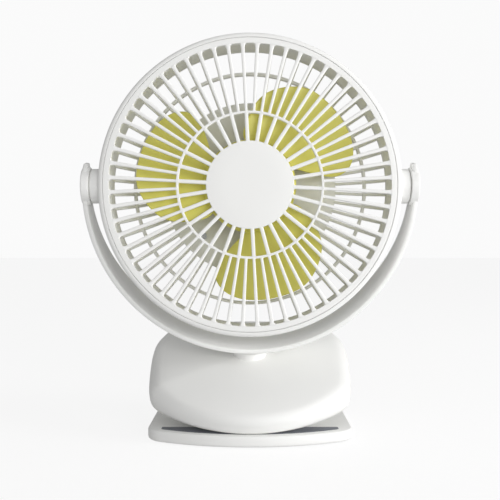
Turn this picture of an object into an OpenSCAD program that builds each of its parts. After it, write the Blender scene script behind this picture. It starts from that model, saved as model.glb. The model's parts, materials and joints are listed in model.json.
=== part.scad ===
// Clip-on desk fan: a round caged head that tilts in a half-round yoke, a leaning
// swivel neck, and a sprung two-jaw clip that also serves as the foot.
// Front faces -Y, +Z is up, the origin is the middle of the foot on the table.

/* [Head] */
// Outer diameter of the round head
head_d = 150; // [125:1:180]
// Depth of the outer rim, front to back
rim_depth = 22.5; // [18:0.5:25]
// Radial thickness of the rim's inner wall
rim_wall = 5; // [4:0.25:7]
// Radial width of the rim left showing round the front grille
rim_edge = 2.4; // [1.6:0.1:3]
// Thickness of the front grille and its slats
grille_t = 3; // [2.4:0.1:4]
// Number of outer slats, and of bars at the back
slat_n = 60; // [40:2:72]
// Width of an outer slat at the rim
slat_w = 1.85; // [1.5:0.05:2.3]
// Width of an outer slat at the middle ring, and of an inner spoke
slat_root_w = 1.35; // [1:0.05:1.7]
// Diameter of the thin middle ring
mid_ring_d = 71.6; // [60:0.5:86]
// Width of the thin middle ring
mid_ring_w = 1.2; // [0.9:0.1:2]
// Diameter of the blank disc in the middle of the grille
cap_d = 43.4; // [36:0.2:52]
// How far the rear guard's ring lies inside the rim's outside
guard_inset = 15; // [13:0.5:18]
// Diameter of the solid disc that carries the motor
guard_disc_d = 90; // [75:1:92]
// Depth from the front face to the inside of that disc
guard_depth = 28; // [26.5:0.5:32]
// Diameter of the cover behind the motor disc
rear_cover_d = 78; // [66:1:80]

/* [Rotor] */
// Diameter of the impeller's hub
hub_d = 46.4; // [42:0.2:50]
// Gap between blade tips and the rim's inner wall
tip_gap = 11.8; // [6:0.2:14]
// Number of blades
blade_n = 3; // [3:1:5]
// Blade thickness
blade_t = 1.8; // [1.4:0.1:2.4]
// Blade pitch in degrees
blade_pitch = 13; // [10:0.5:14]
// Motor shaft diameter
shaft_d = 3; // [2.4:0.1:4]
// Outside diameter of the two shaft bearings
bearing_d = 8; // [7:0.1:10]

/* [Yoke and neck] */
// Gap between the rim and the inside of the yoke
yoke_gap = 6.4; // [6:0.2:10]
// Thickness of the yoke band
yoke_t = 2.4; // [2:0.1:3.2]
// Width of the band at the neck
yoke_w_low = 30; // [24:0.5:32]
// Width of the band at the pivots
yoke_w_high = 12; // [10:0.5:18]
// How far the band's ends stand above the pivots
yoke_tab_h = 11.8; // [10:0.2:14]
// Diameter of the thick pad at each pivot
yoke_pad_d = 19; // [18:0.2:23]
// Diameter of the tilt pins
tilt_pin_d = 6; // [5:0.1:7.5]
// Diameter of the bosses on the rim that carry the tilt pins
boss_d = 17.4; // [14:0.2:18]
// Forward lean of the swivel neck in degrees
neck_lean = 12; // [10:0.5:14]
// Diameter of the swivel post
post_d = 11; // [9.6:0.2:13.2]
// Diameter of the round collar under the yoke
collar_d = 17.6; // [16.8:0.2:22]
// Gap along the neck from the yoke down to the collar's seat
neck_h = 4.8; // [3.6:0.1:6]

/* [Clip] */
// Length of the clip, front to back
clip_l = 96; // [80:1:115]
// Width of the upper jaw
jaw_w = 107; // [92:1:128]
// How much narrower the lower jaw is on each side
lower_inset = 3; // [1:0.5:5]
// Radius of the lower jaw's curved front edge
front_arc = 95; // [86:1:120]
// Thickness of the lower jaw
plate_t = 5.5; // [4.8:0.1:7]
// Height of the rubber feet under it
foot_h = 0.5; // [0.4:0.1:1.5]
// Slope of the upper jaw in degrees
jaw_tilt = 21.8; // [20:0.2:24]
// Half thickness of the upper jaw's front lip
lip_r = 5.2; // [4.6:0.1:5.8]
// Half thickness of its other edges
edge_r = 8; // [7.6:0.1:9]
// Half thickness in its middle
crown_r = 10.6; // [10.2:0.1:12.7]
// Wall thickness of the upper jaw
wall = 2; // [1.6:0.1:2.4]
// Distance of the neck in front of the clip's middle
neck_fwd = 3; // [0:0.5:8]
// Distance of the hinge pin behind the clip's middle
hinge_back = 18; // [14:0.5:22]
// Height of the hinge pin above the table
hinge_z = 15.4; // [14:0.2:17]
// Diameter of the hinge pin
hinge_d = 4; // [3:0.1:5]

/* [Battery and controls] */
// Width of the battery pack
battery_w = 58; // [40:1:66]
// Length of the battery pack
battery_l = 25; // [18:1:26]
// Thickness of the battery pack
battery_t = 9; // [7:0.5:10]
// Diameter of the speed button
button_d = 7; // [6:0.2:8]
// How far the button can be pressed
button_travel = 0.8; // [0.5:0.1:1]

/* [Hidden] */
$fn = 96;

fit = 0.05;          // radial clearance of a running fit
gap = 0.3;           // clearance between moving faces
seam = 0.1;          // clearance round a piece let into another
eps = 0.01;

// ---- head, worked out from the head's sizes
head_r = head_d / 2;
bore_r = head_r - rim_wall;
grille_r = head_r - rim_edge - seam;
slot_r = bore_r - 0.4;
mid_r = mid_ring_d / 2;
cap_r = cap_d / 2;
cap_t = 1.2;
guard_seat = rim_depth - 5;
guard_t = 2.5;
guard_r = head_r - guard_inset;
disc_r = guard_disc_d / 2;
bar_w = 1.5;
bar_t = 3;
cover_r = rear_cover_d / 2;
cover_depth = 7.5;
cover_wall = 1.8;
tube_r = bearing_d / 2 + 1.3;
pivot_back = rim_depth / 2;
boss_r = boss_d / 2;

// ---- rotor, depths measured back from the front face
hub_front = grille_t + 2.2;
hub_wall = 1.6;
hub_back = 22;
can_wall = 1.1;
can_r = hub_d / 2 - hub_wall;
magnet_t = 1.6;
magnet_r = can_r - can_wall;
stator_r = magnet_r - magnet_t - 0.5;
stator_front = 11;
stator_back = 18;
tooth_n = 9;
bearing_l = 4;
bearing_front_z = 11.5;
bearing_rear_z = guard_depth - bearing_l;
shaft_end = guard_depth + 1.4;
clip_z = guard_depth + 0.4;
clip_t = 0.5;
tip_r = bore_r - tip_gap;

// ---- yoke and neck
yoke_in = head_r + yoke_gap;
yoke_out = yoke_in + yoke_t;
washer_t = 0.6;
pad_in = yoke_in - 1.4;
pad_out = yoke_out + 0.1;
cap_recess = 0.6;
cap_disc_r = yoke_pad_d / 2 - 2;
counterbore_r = tilt_pin_d / 2 + 2;
screw_head_t = 1.2;
counterbore_t = screw_head_t + 0.2;
boss_out = pad_in - washer_t;
pin_out = pad_out - cap_recess - counterbore_t;
pin_in = bore_r + 0.6;

// ---- clip
plate_top = foot_h + plate_t;
pad_proud = 0.1;
pad_t = 1.6;
lip_y = -clip_l / 2 + lip_r;
lip_z = plate_top + pad_proud + gap + lip_r;
button_proud = button_travel + 0.4;
slab_l = (clip_l - lip_r - edge_r - button_proud) / cos(jaw_tilt);
jaw_r = jaw_w / 2;
jaw_arc = 0.607 * jaw_w;   // radius of the upper jaw's curved front edge
neck_y = -neck_fwd;
neck_local = (neck_y - lip_y) / cos(jaw_tilt);
seat_z = lip_z + neck_local * sin(jaw_tilt) + crown_r / cos(jaw_tilt);
neck_z = seat_z + neck_h * cos(neck_lean);
head_y = neck_y - yoke_out * sin(neck_lean);
head_z = neck_z + yoke_out * cos(neck_lean);
front_y = head_y - pivot_back;
hinge_y = hinge_back;
lug_r = hinge_d / 2 + 3;
lug_w = 5;
lug_x = 21;
post_len = neck_h + 12.5;
collar_t = 2;
split = -3.6;        // height of the parting plane in the upper jaw's own frame
plate_r = jaw_r - lower_inset;
corner_r = 13;
tail_r = 20;

white = [0.93, 0.93, 0.92];
shade_white = [0.82, 0.82, 0.80];
lime = [0.72, 0.70, 0.28];
dark_grey = [0.30, 0.31, 0.33];
steel = [0.70, 0.71, 0.73];
copper = [0.72, 0.42, 0.22];
board_green = [0.10, 0.35, 0.20];

// ---- frames of the pieces
// Head: depth runs along local z from the front face, local -y is up
module in_head() translate([0, front_y, head_z]) rotate([-90, 0, 0]) children();
// Feature that points along local x is turned to a clock angle seen from the front
module clock(angle) rotate([0, 0, angle - 90]) children();
// Tilt axis, along world x through the head
module on_pivot() translate([0, head_y, head_z]) rotate([0, 90, 0]) children();
// Yoke and neck: local z runs up the leaning swivel axis, 0 at the yoke's underside
module in_yoke() translate([0, neck_y, neck_z]) rotate([neck_lean, 0, 0]) children();
// Upper jaw: local y runs up its slope from the lip, local z is square to it
module in_slab() translate([0, lip_y, lip_z]) rotate([jaw_tilt, 0, 0]) children();
// Hinge axis, along world x
module on_hinge() translate([0, hinge_y, hinge_z]) rotate([0, 90, 0]) children();

module ring(r_out, r_in, z0, z1) difference() {
    translate([0, 0, z0]) cylinder(r = r_out, h = z1 - z0);
    translate([0, 0, z0 - 1]) cylinder(r = r_in, h = z1 - z0 + 2);
}

module disc(r, z0, z1) translate([0, 0, z0]) cylinder(r = r, h = z1 - z0);

module both_sides() { children(); mirror([1, 0, 0]) children(); }

// ---- front grille
// One slat, wider outwards, a little way in from both faces of the grille
module slat(r0, r1, w0, w1, back) translate([0, 0, back]) linear_extrude(grille_t - 3 * back)
    polygon([[r0, -w0 / 2], [r1, -w1 / 2], [r1, w1 / 2], [r0, w0 / 2]]);

module front_grille() color(white) in_head() difference() {
    union() {
        ring(grille_r, slot_r, 0, grille_t);
        ring(mid_r + mid_ring_w / 2, mid_r - mid_ring_w / 2, 0.18, grille_t - 0.4);
        disc(cap_r + 0.4, cap_t - 0.3, grille_t);
        for (i = [0:slat_n - 1])
            clock((i + 0.5) * 360 / slat_n)
                slat(mid_r - 0.3, slot_r + 0.5, slat_root_w, slat_w, 0.08);
        for (i = [0:slat_n / 2 - 1])
            clock((i - 0.25) * 720 / slat_n)
                slat(cap_r - 1, mid_r + 0.25, slat_w, slat_w, 0.12);
    }
    disc(cap_r + seam, -1, cap_t);
    cap_pegs(1.6, -1, grille_t + 1);
}

// Three pegs that hold the blank disc in the grille
module cap_pegs(r, z0, z1) for (i = [0:2])
    rotate([0, 0, 120 * i]) translate([cap_r - 6, 0, 0]) disc(r, z0, z1);

module hub_cap() color(white) in_head() {
    disc(cap_r, 0, cap_t);
    cap_pegs(1.5, cap_t, grille_t + 0.6);
}

// ---- rim with the two tilt bosses
module outer_rim() color(white) in_head() difference() {
    union() {
        disc(head_r, 0, rim_depth);
        translate([0, 0, pivot_back]) rotate([0, 90, 0])
            translate([0, 0, -boss_out]) cylinder(r = boss_r, h = 2 * boss_out);
    }
    disc(grille_r + seam, -1, grille_t);
    disc(bore_r, -1, rim_depth + 1);
    disc(grille_r + seam, guard_seat, rim_depth + boss_d);
    translate([0, 0, pivot_back]) rotate([0, 90, 0])
        translate([0, 0, -head_r * 2]) cylinder(r = tilt_pin_d / 2, h = head_r * 4);
}

// ---- rear guard: seat ring, bars, ring, motor disc and bearing tube
module guard_bar() rotate([90, 0, 0]) translate([0, 0, -bar_w / 2]) linear_extrude(bar_w)
    polygon([[bore_r + 0.5, guard_seat + 1], [bore_r + 1, rim_depth],
        [guard_r, guard_depth + guard_t - 1], [disc_r - 1, guard_depth + guard_t],
        [disc_r - 1, guard_depth], [guard_r, guard_depth + guard_t - 1 - bar_t]]);

module rear_guard() color(shade_white) in_head() difference() {
    union() {
        ring(grille_r, bore_r, guard_seat, rim_depth);
        ring(guard_r + 0.8, guard_r - 0.8, guard_depth - 1.7, guard_depth + guard_t - 0.8);
        disc(disc_r, guard_depth, guard_depth + guard_t);
        disc(tube_r, bearing_front_z, guard_depth);
        for (i = [0:slat_n - 1]) clock((i + 0.5) * 360 / slat_n) guard_bar();
    }
    disc(bearing_d / 2, bearing_front_z - 1, guard_depth + guard_t + 1);
    cover_bolt_places() disc(1, guard_depth - 1, guard_depth + guard_t + 1);
    lead_hole() disc(2.2, guard_depth - 1, guard_depth + guard_t + 1);
}

// Way through the disc for the motor's leads
module lead_hole() translate([0, -(tube_r + 5), 0]) children();

module cover_bolt_places() for (a = [45:90:315])
    rotate([0, 0, a]) translate([cover_r - 4, 0, 0]) children();

cover_z = guard_depth + guard_t;
module rear_cover() color(white) in_head() difference() {
    union() {
        difference() {
            disc(cover_r, cover_z, cover_z + cover_depth);
            disc(cover_r - cover_wall, cover_z - 1, cover_z + cover_depth - cover_wall);
        }
        cover_bolt_places() disc(3, cover_z, cover_z + cover_depth - cover_wall + eps);
    }
    cover_bolt_places() disc(1, cover_z - 1, cover_z + cover_depth - cover_wall - 1);
}

// Four bolts from inside the motor disc into the cover's posts
module cover_bolts() color(steel) in_head() cover_bolt_places() {
    disc(2, guard_depth - 1.2, guard_depth);
    disc(1, guard_depth - eps, cover_z + 3.5);
}

module motor_board() color(board_green) in_head() difference() {
    disc(cover_r - 9, cover_z + 1.5, cover_z + 2.7);
    disc(6, cover_z, cover_z + 4);
}

// ---- motor
module stator_core() color(steel) in_head() difference() {
    union() {
        ring(tube_r + 3, tube_r, stator_front, stator_back);
        ring(stator_r, stator_r - 1.6, stator_front, stator_back);
        for (i = [0:tooth_n - 1]) tooth_place(i + 0.5) translate([tube_r + 2, -1, stator_front + 0.2])
            cube([stator_r - tube_r - 3, 2, stator_back - stator_front - 0.4]);
    }
    for (i = [0:tooth_n - 1]) tooth_place(i) translate([stator_r - 3, -1.4, stator_front - 1])
        cube([4, 2.8, stator_back - stator_front + 2]);
}
module tooth_place(i) rotate([0, 0, i * 360 / tooth_n]) children();

// One wound coil round each tooth
module stator_coils() color(copper) in_head()
    for (i = [0:tooth_n - 1]) tooth_place(i + 0.5) difference() {
        translate([tube_r + 3.2, -2, stator_front - 1.2])
            cube([stator_r - tube_r - 5.4, 4, stator_back - stator_front + 2.4]);
        translate([tube_r, -1, stator_front])
            cube([stator_r, 2, stator_back - stator_front]);
    }

module bearing(z0) color(steel) in_head()
    ring(bearing_d / 2, shaft_d / 2 + fit, z0, z0 + bearing_l);
module bearing_front() bearing(bearing_front_z);
module bearing_rear() bearing(bearing_rear_z);

// ---- rotor
// Blade outline seen along the axis: a root and three round lobes inside the tip circle
module blade_outline() intersection() {
    circle(r = tip_r);
    hull() {
        translate([tip_r * 0.28, -tip_r * 0.13]) circle(r = tip_r * 0.19, $fn = 32);
        translate([tip_r * 0.66, -tip_r * 0.21]) circle(r = tip_r * 0.24, $fn = 32);
        translate([tip_r * 0.79, tip_r * 0.04]) circle(r = tip_r * 0.21, $fn = 32);
        translate([tip_r * 0.72, tip_r * 0.31]) circle(r = tip_r * 0.20, $fn = 32);
    }
}

blade_z = (hub_front + hub_back) / 2;
module blade() intersection() {
    translate([0, 0, hub_front]) linear_extrude(hub_back - hub_front) blade_outline();
    translate([0, 0, blade_z]) rotate([blade_pitch, 0, 0])
        translate([0, -head_r, -blade_t / 2]) cube([head_r, head_d, blade_t]);
}

module impeller() color(lime) in_head() difference() {
    union() {
        disc(hub_d / 2, hub_front, hub_back);
        for (i = [0:blade_n - 1]) clock(44 + i * 360 / blade_n) blade();
    }
    disc(can_r, hub_front + hub_wall, hub_back + 1);
    disc(shaft_d / 2, hub_front + 0.6, hub_back);
}

module rotor_can() color(steel) in_head() difference() {
    disc(can_r, hub_front + hub_wall, hub_back - 0.6);
    disc(can_r - can_wall, hub_front + hub_wall + 1, hub_back);
    disc(shaft_d / 2, hub_front, hub_back);
}

module magnet_ring() color(dark_grey) in_head()
    ring(magnet_r, magnet_r - magnet_t, stator_front - 1.5, stator_back + 1.5);

module shaft() color(steel) in_head() difference() {
    disc(shaft_d / 2, hub_front + 0.6, shaft_end);
    ring(shaft_d, shaft_d / 2 - 0.4, clip_z, clip_z + clip_t);
}

// Snap ring in the shaft's end groove
module shaft_clip() color(steel) in_head()
    ring(bearing_d / 2 - 1, shaft_d / 2 - 0.4, clip_z, clip_z + clip_t);

// ---- tilt pivots
// The pin turns with the head and runs in the yoke's pad
module pivot_pin() color(steel) on_pivot() difference() {
    disc(tilt_pin_d / 2, pin_in, pin_out);
    disc(1.25, pin_out - 6, pin_out + 1);
}
module pivot_pin_right() pivot_pin();
module pivot_pin_left() mirror([1, 0, 0]) pivot_pin();

module pivot_screws() color(steel) both_sides() on_pivot() {
    disc(tilt_pin_d / 2 + 1.2, pin_out, pin_out + screw_head_t);
    disc(1.25, pin_out - 5.5, pin_out + eps);
}

module washer() color(white) on_pivot()
    ring(boss_r - 1, tilt_pin_d / 2 + fit, boss_out + seam, pad_in);
module washer_right() washer();
module washer_left() mirror([1, 0, 0]) washer();

// ---- yoke
// Half round band that narrows from the neck to the pivots, with a round pad at each pivot
tab_z = yoke_out + yoke_tab_h - yoke_w_high / 2;
module yoke_band() color(white) difference() {
    union() {
        in_yoke() intersection() {
            translate([0, yoke_w_low, yoke_out]) rotate([90, 0, 0]) difference() {
                cylinder(r = yoke_out, h = 2 * yoke_w_low, $fn = 180);
                translate([0, 0, -1]) cylinder(r = yoke_in, h = 2 * yoke_w_low + 2, $fn = 180);
            }
            rotate([90, 0, 90]) translate([0, 0, -head_d]) linear_extrude(2 * head_d) {
                polygon([[-yoke_w_low / 2, -1], [yoke_w_low / 2, -1], [yoke_w_low / 2, 0],
                    [yoke_w_high / 2, yoke_out], [yoke_w_high / 2, tab_z],
                    [-yoke_w_high / 2, tab_z], [-yoke_w_high / 2, yoke_out], [-yoke_w_low / 2, 0]]);
                translate([0, tab_z]) circle(r = yoke_w_high / 2);
            }
        }
        both_sides() on_pivot() disc(yoke_pad_d / 2, pad_in, pad_out);
    }
    both_sides() on_pivot() {
        disc(tilt_pin_d / 2 + fit, pad_in - 1, pad_out + 1);
        disc(counterbore_r, pin_out - seam, pad_out + 1);
        disc(cap_disc_r + seam, pad_out - cap_recess, pad_out + 1);
    }
    in_yoke() disc(post_d / 2 - 2, -1, yoke_t + 1);
}

module yoke_cap() color(white) on_pivot() disc(cap_disc_r, pad_out - cap_recess, pad_out);
module yoke_cap_right() yoke_cap();
module yoke_cap_left() mirror([1, 0, 0]) yoke_cap();

// ---- swivel neck
// Post under the yoke: spigot in the band, round collar, shank and threaded end
module swivel_post() color(white) in_yoke() difference() {
    union() {
        disc(post_d / 2 - 2, -eps, yoke_t);
        intersection() {
            disc(collar_d / 2, -collar_t, yoke_t);
            translate([0, yoke_w_low, yoke_out]) rotate([90, 0, 0]) difference() {
                cylinder(r = head_d, h = 2 * yoke_w_low);
                translate([0, 0, -1]) cylinder(r = yoke_out, h = 2 * yoke_w_low + 2, $fn = 180);
            }
        }
        disc(post_d / 2, -post_len, -collar_t + eps);
    }
    disc(2.5, -post_len - 1, -1);
}

module swivel_nut() color(steel) in_yoke()
    ring(post_d / 2 + 2.4, post_d / 2, -post_len + 0.4, -post_len + 3);

// Bush fixed in the upper jaw: its head carries the collar, its barrel guides the post
bush_wall = 2;
bush_r = post_d / 2 + bush_wall;
bush_end = -post_len + 3 + gap;
bush_seat = -neck_h - 2.2;
module swivel_bush() color(white) in_yoke() difference() {
    union() {
        disc(collar_d / 2, bush_seat, -collar_t - gap);
        disc(bush_r, bush_end, -collar_t - gap - 1);
    }
    disc(post_d / 2 + fit, bush_end - 1, 1);
}

// ---- upper jaw
// Rounded wedge of balls on the sloping middle plane; inset shrinks it evenly
module pillow(inset) in_slab() hull() {
    ball(0, 0, lip_r - inset);
    for (side = [-1, 1]) {
        arc_ball(side, jaw_r * 0.34, lip_r + 0.1, inset);
        arc_ball(side, jaw_r * 0.62, lip_r + 0.9, inset);
        arc_ball(side, jaw_r - edge_r - 2, edge_r - 0.4, inset);
        ball(side * (jaw_r - edge_r - 0.15), slab_l * 0.48, edge_r - inset);
        ball(side * (jaw_r - edge_r), slab_l * 0.76, edge_r - inset);
        ball(side * (jaw_r - edge_r - 6), slab_l * 0.93, edge_r - inset);
        ball(side * jaw_r * 0.4, slab_l * 0.99, edge_r - inset);
        ball(side * jaw_r * 0.4, slab_l * 0.42, crown_r - 0.5 - inset);
        ball(side * jaw_r * 0.4, slab_l * 0.80, crown_r - 0.8 - inset);
    }
    ball(0, slab_l, edge_r - inset);
    ball(0, slab_l * 0.36, crown_r - inset);
    ball(0, slab_l * 0.82, crown_r - 0.3 - inset);
}
module ball(x, y, r) translate([x, y, 0]) sphere(r = r, $fn = 32);
// A ball that touches the curved front edge from inside
module arc_ball(side, x, r, inset)
    ball(side * x, (jaw_arc - lip_r - sqrt(pow(jaw_arc - r, 2) - x * x)) / cos(jaw_tilt), r - inset);

// Everything above the parting plane, and everything below it
module above_split(z) in_slab() translate([-jaw_w, -clip_l, z]) cube([2 * jaw_w, 3 * clip_l, clip_l]);
module below_split(z) in_slab() translate([-jaw_w, -clip_l, z - clip_l])
    cube([2 * jaw_w, 3 * clip_l, clip_l]);

// Controls on the jaw's tail: local z points straight back out of the wall
tail_y = clip_l / 2 - button_proud;
tail_z = lip_z + slab_l * sin(jaw_tilt);
port_x = 17;
lens_x = -17;
module on_tail(x) translate([x, tail_y, tail_z]) rotate([-90, 0, 0]) children();

screw_x = 34;
module floor_screw_places() for (x = [-screw_x, screw_x], y = [slab_l * 0.36, slab_l * 0.78])
    in_slab() translate([x, y, 0]) children();

// Holes in the tail wall for the button, the port and the row of lights
module tail_cuts() {
    on_tail(0) disc(button_d / 2 + fit, -2 * wall - 1, 5);
    on_tail(port_x) translate([-port_w / 2 - seam, -port_h / 2 - seam, -9])
        cube([port_w + 2 * seam, port_h + 2 * seam, 12]);
    light_places() disc(light_r, -8, 5);
}

// Row of four small lights
light_r = 0.8;
module light_places() for (i = [0:3])
    on_tail(lens_x) translate([(i - 1.5) * 3.4, 0, 0]) children();

module upper_shell() color(white) difference() {
    union() {
        difference() {
            intersection() { pillow(0); above_split(split); }
            intersection() { pillow(wall); above_split(split - 1); }
        }
        intersection() {
            in_yoke() disc(bush_r + 3, -post_len + 4.5, 0);
            pillow(0);
            above_split(split);
        }
        intersection() {
            floor_screw_places() disc(3, split, crown_r);
            pillow(wall / 2);
        }
    }
    in_yoke() {
        disc(bush_r, -post_len - 10, 4);
        disc(collar_d / 2 + seam, bush_seat, 20);
    }
    floor_screw_places() disc(0.9, split - 1, crown_r - wall - 2.5);
    tail_cuts();
}

module upper_floor() color(shade_white) difference() {
    union() {
        difference() {
            intersection() { pillow(0); below_split(split - eps); }
            intersection() { pillow(wall); below_split(split + 1); }
        }
        both_sides() upper_lug();
        intersection() {
            floor_screw_places() disc(3, -crown_r, split - eps);
            pillow(wall / 2);
        }
    }
    on_hinge() disc(hinge_d / 2 + fit, -jaw_w, jaw_w);
    floor_screw_places() {
        disc(1.3, -crown_r - 1, split + 1);
        disc(2.4, -crown_r - 1, split - 2.2);
    }
    upper_pad_block() difference() { pillow(-1); pillow_raised(); }
    tail_cuts();
}

// Lug that hangs from the floor to the hinge pin
module upper_lug() {
    on_hinge() disc(lug_r, lug_x, lug_x + lug_w);
    intersection() {
        translate([lug_x, hinge_y - lug_r, hinge_z]) cube([lug_w, 2 * lug_r, 3 * crown_r]);
        below_split(wall - edge_r - 0.2);
    }
}

module floor_screws() color(steel) floor_screw_places() {
    disc(2.2, split - 4, split - 2.2);
    disc(0.9, split - 2.2 - eps, split + 6);
}

// Crescent shaped grip pads near the lips of both jaws
pad_edge = 5.3;
pad_back = 20;
module jaw_pad_outline(h) linear_extrude(h) intersection() {
    translate([0, jaw_arc - lip_r]) circle(r = jaw_arc - pad_edge, $fn = 180);
    translate([-plate_r + 20, -clip_l / 2]) square([2 * plate_r - 40, clip_l / 2 + pad_back]);
}
module pillow_raised() translate([0, 0, wall / 2]) pillow(0);
module upper_pad_block() intersection() {
    in_slab() translate([0, 0, -2 * crown_r]) jaw_pad_outline(2 * crown_r - lip_r + pad_t);
    children();
}

module upper_pad() color(dark_grey) upper_pad_block() difference() { pillow(0); pillow_raised(); }

module battery_pack() color(dark_grey) in_slab()
    translate([-battery_w / 2, neck_local + bush_r + 7.4, wall - edge_r + 0.5])
        cube([battery_w, battery_l, battery_t]);

port_w = 8.9;
port_h = 3.2;
// Board behind the tail wall, notched round the button
module control_board() color(board_green) on_tail(0) difference() {
    translate([-24, port_h / 2 + 0.4, -11]) cube([48, 1.2, 5.5]);
    translate([-button_foot_r - 1, 0, -7.5]) cube([2 * button_foot_r + 2, 4, 5]);
}

module charge_port() color(steel) on_tail(port_x) difference() {
    translate([-port_w / 2, -port_h / 2, -8.6]) cube([port_w, port_h, 7.2]);
    translate([-port_w / 2 + 0.3, -port_h / 2 + 0.3, -7.6]) cube([port_w - 0.6, port_h - 0.6, 8]);
}

module indicator_lens() color(white) light_places() disc(light_r, -3.4, -1.1);

// Push button with a wider foot that stops it behind the wall
button_foot_r = button_d / 2 + 0.8;
button_foot_z = sqrt(pow(edge_r - wall, 2) - pow(button_foot_r, 2)) - edge_r - gap;
module speed_button() color(shade_white) on_tail(0) {
    disc(button_d / 2, button_foot_z, button_proud);
    disc(button_foot_r, button_foot_z - 1, button_foot_z);
}

// ---- lower jaw
// Plan outline: curved front edge, rounded corners, inset evenly by e
corner_x = plate_r - corner_r;
arc_y = -clip_l / 2 + front_arc;
corner_y = arc_y - sqrt(pow(front_arc - corner_r, 2) - pow(corner_x, 2));
corner_a = atan2(corner_y - arc_y, corner_x);
function arc(cx, cy, r, a0, a1, n) =
    [for (i = [0:n]) [cx + r * cos(a0 + (a1 - a0) * i / n), cy + r * sin(a0 + (a1 - a0) * i / n)]];
function half_plan(e) = concat(
    arc(0, arc_y, front_arc - e, -90, corner_a, 8),
    arc(corner_x, corner_y, corner_r - e, corner_a, 0, 8),
    arc(plate_r - tail_r, clip_l / 2 - tail_r, tail_r - e, 0, 90, 10));
function flipped(p) = [for (i = [len(p) - 1:-1:1]) [-p[i][0], p[i][1]]];
module plate_plan(e, z0, z1) translate([0, 0, z0]) linear_extrude(z1 - z0)
    polygon(concat(half_plan(e), flipped(half_plan(e))));

plate_skin = 2;
cover_t = 1.4;
module lower_plate() color(white) difference() {
    union() {
        difference() {
            plate_plan(0, foot_h, plate_top);
            plate_plan(plate_skin + 1, foot_h - 1, plate_top - plate_skin);
        }
        plate_screw_places() disc(3.2, foot_h + cover_t, plate_top);
        both_sides() lower_lug();
        pad_floor();
    }
    on_hinge() disc(hinge_d / 2, -jaw_w, jaw_w);
    plate_screw_places() disc(0.9, foot_h, plate_top - 1.2);
    lower_pad_solid(seam);
}

module lower_lug() {
    x0 = lug_x + lug_w + gap;
    on_hinge() disc(lug_r, x0, x0 + lug_w);
    translate([x0, hinge_y - lug_r, plate_top - 1]) cube([lug_w, 2 * lug_r, hinge_z - plate_top + 1]);
}

// Solid floor under the grip pad
module pad_floor() intersection() {
    plate_plan(plate_skin, foot_h + cover_t, plate_top);
    translate([-jaw_w, -clip_l, 0]) cube([2 * jaw_w, clip_l / 2 + pad_back + 4, clip_l]);
}

module lower_pad_solid(grow) intersection() {
    plate_plan(pad_edge - 1 - grow, plate_top - pad_t + pad_proud - grow, plate_top + pad_proud);
    translate([-plate_r + 7 - grow, -clip_l, 0])
        cube([2 * plate_r - 14 + 2 * grow, clip_l / 2 + pad_back + grow, clip_l]);
}
module lower_pad() color(dark_grey) lower_pad_solid(0);

module lower_cover() color(shade_white) difference() {
    plate_plan(plate_skin + 1 + seam, foot_h, foot_h + cover_t);
    plate_screw_places() disc(1.2, 0, foot_h + cover_t + 1);
    foot_places() disc(foot_r + seam, 0, foot_h + 0.6);
}

foot_r = 5;
module foot_places() for (x = [-1, 1], y = [-clip_l / 2 + 20, clip_l / 2 - 15])
    translate([x * (plate_r - 14), y, 0]) children();
module foot_pads() color(dark_grey) foot_places() disc(foot_r, 0, foot_h + 0.6);

module plate_screw_places() for (x = [-1, 1], y = [-clip_l / 2 + 32, clip_l / 2 - 27])
    translate([x * (plate_r - 14), y, 0]) children();
module plate_screws() color(steel) plate_screw_places() {
    disc(1.2, foot_h + 0.1, foot_h + cover_t);
    disc(0.9, foot_h + cover_t - eps, plate_top - 1.5);
}

module hinge_pin() color(steel) on_hinge()
    disc(hinge_d / 2, -lug_x - 2 * lug_w - gap, lug_x + 2 * lug_w + gap);

// Two coil springs round the pin, drawn as closed turns
spring_wire = 1.5;
spring_turns = 7;
module clip_springs() color(steel) both_sides() on_hinge() for (i = [0:spring_turns - 1])
    translate([0, 0, 6 + i * (spring_wire + 0.05)]) rotate_extrude()
        translate([hinge_d / 2 + spring_wire / 2 + 0.5, 0]) circle(r = spring_wire / 2, $fn = 24);

front_grille();
hub_cap();
outer_rim();
rear_guard();
rear_cover();
cover_bolts();
motor_board();
stator_core();
stator_coils();
bearing_front();
bearing_rear();
pivot_pin_left();
pivot_pin_right();
pivot_screws();
impeller();
rotor_can();
magnet_ring();
shaft();
shaft_clip();
yoke_band();
yoke_cap_left();
yoke_cap_right();
washer_left();
washer_right();
swivel_post();
swivel_nut();
swivel_bush();
upper_shell();
upper_floor();
upper_pad();
battery_pack();
control_board();
charge_port();
indicator_lens();
floor_screws();
speed_button();
lower_plate();
lower_cover();
lower_pad();
foot_pads();
hinge_pin();
clip_springs();
plate_screws();
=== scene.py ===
"""Looks of a clip-on desk fan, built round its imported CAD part."""
import json

from math import atan2, cos, exp, pi, radians, sin, sqrt

import bmesh
import bpy
from mathutils import Matrix, Vector


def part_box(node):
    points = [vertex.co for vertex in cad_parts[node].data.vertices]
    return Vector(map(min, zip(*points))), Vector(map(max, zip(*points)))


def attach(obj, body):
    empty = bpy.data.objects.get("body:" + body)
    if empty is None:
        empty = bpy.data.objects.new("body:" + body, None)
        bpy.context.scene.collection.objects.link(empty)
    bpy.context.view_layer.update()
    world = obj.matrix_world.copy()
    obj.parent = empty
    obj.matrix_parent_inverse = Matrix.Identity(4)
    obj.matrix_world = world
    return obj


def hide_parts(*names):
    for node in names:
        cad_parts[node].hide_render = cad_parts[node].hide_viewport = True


bl_info = {
    "name": "Clip desk fan",
    "version": (1, 0, 0),
    "blender": (4, 5, 0),
    "location": "3D View > Sidebar > Fan",
    "description": "Builds the pieces, finishes and stage of a clip-on desk fan",
    "category": "Add Mesh",
}

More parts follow.
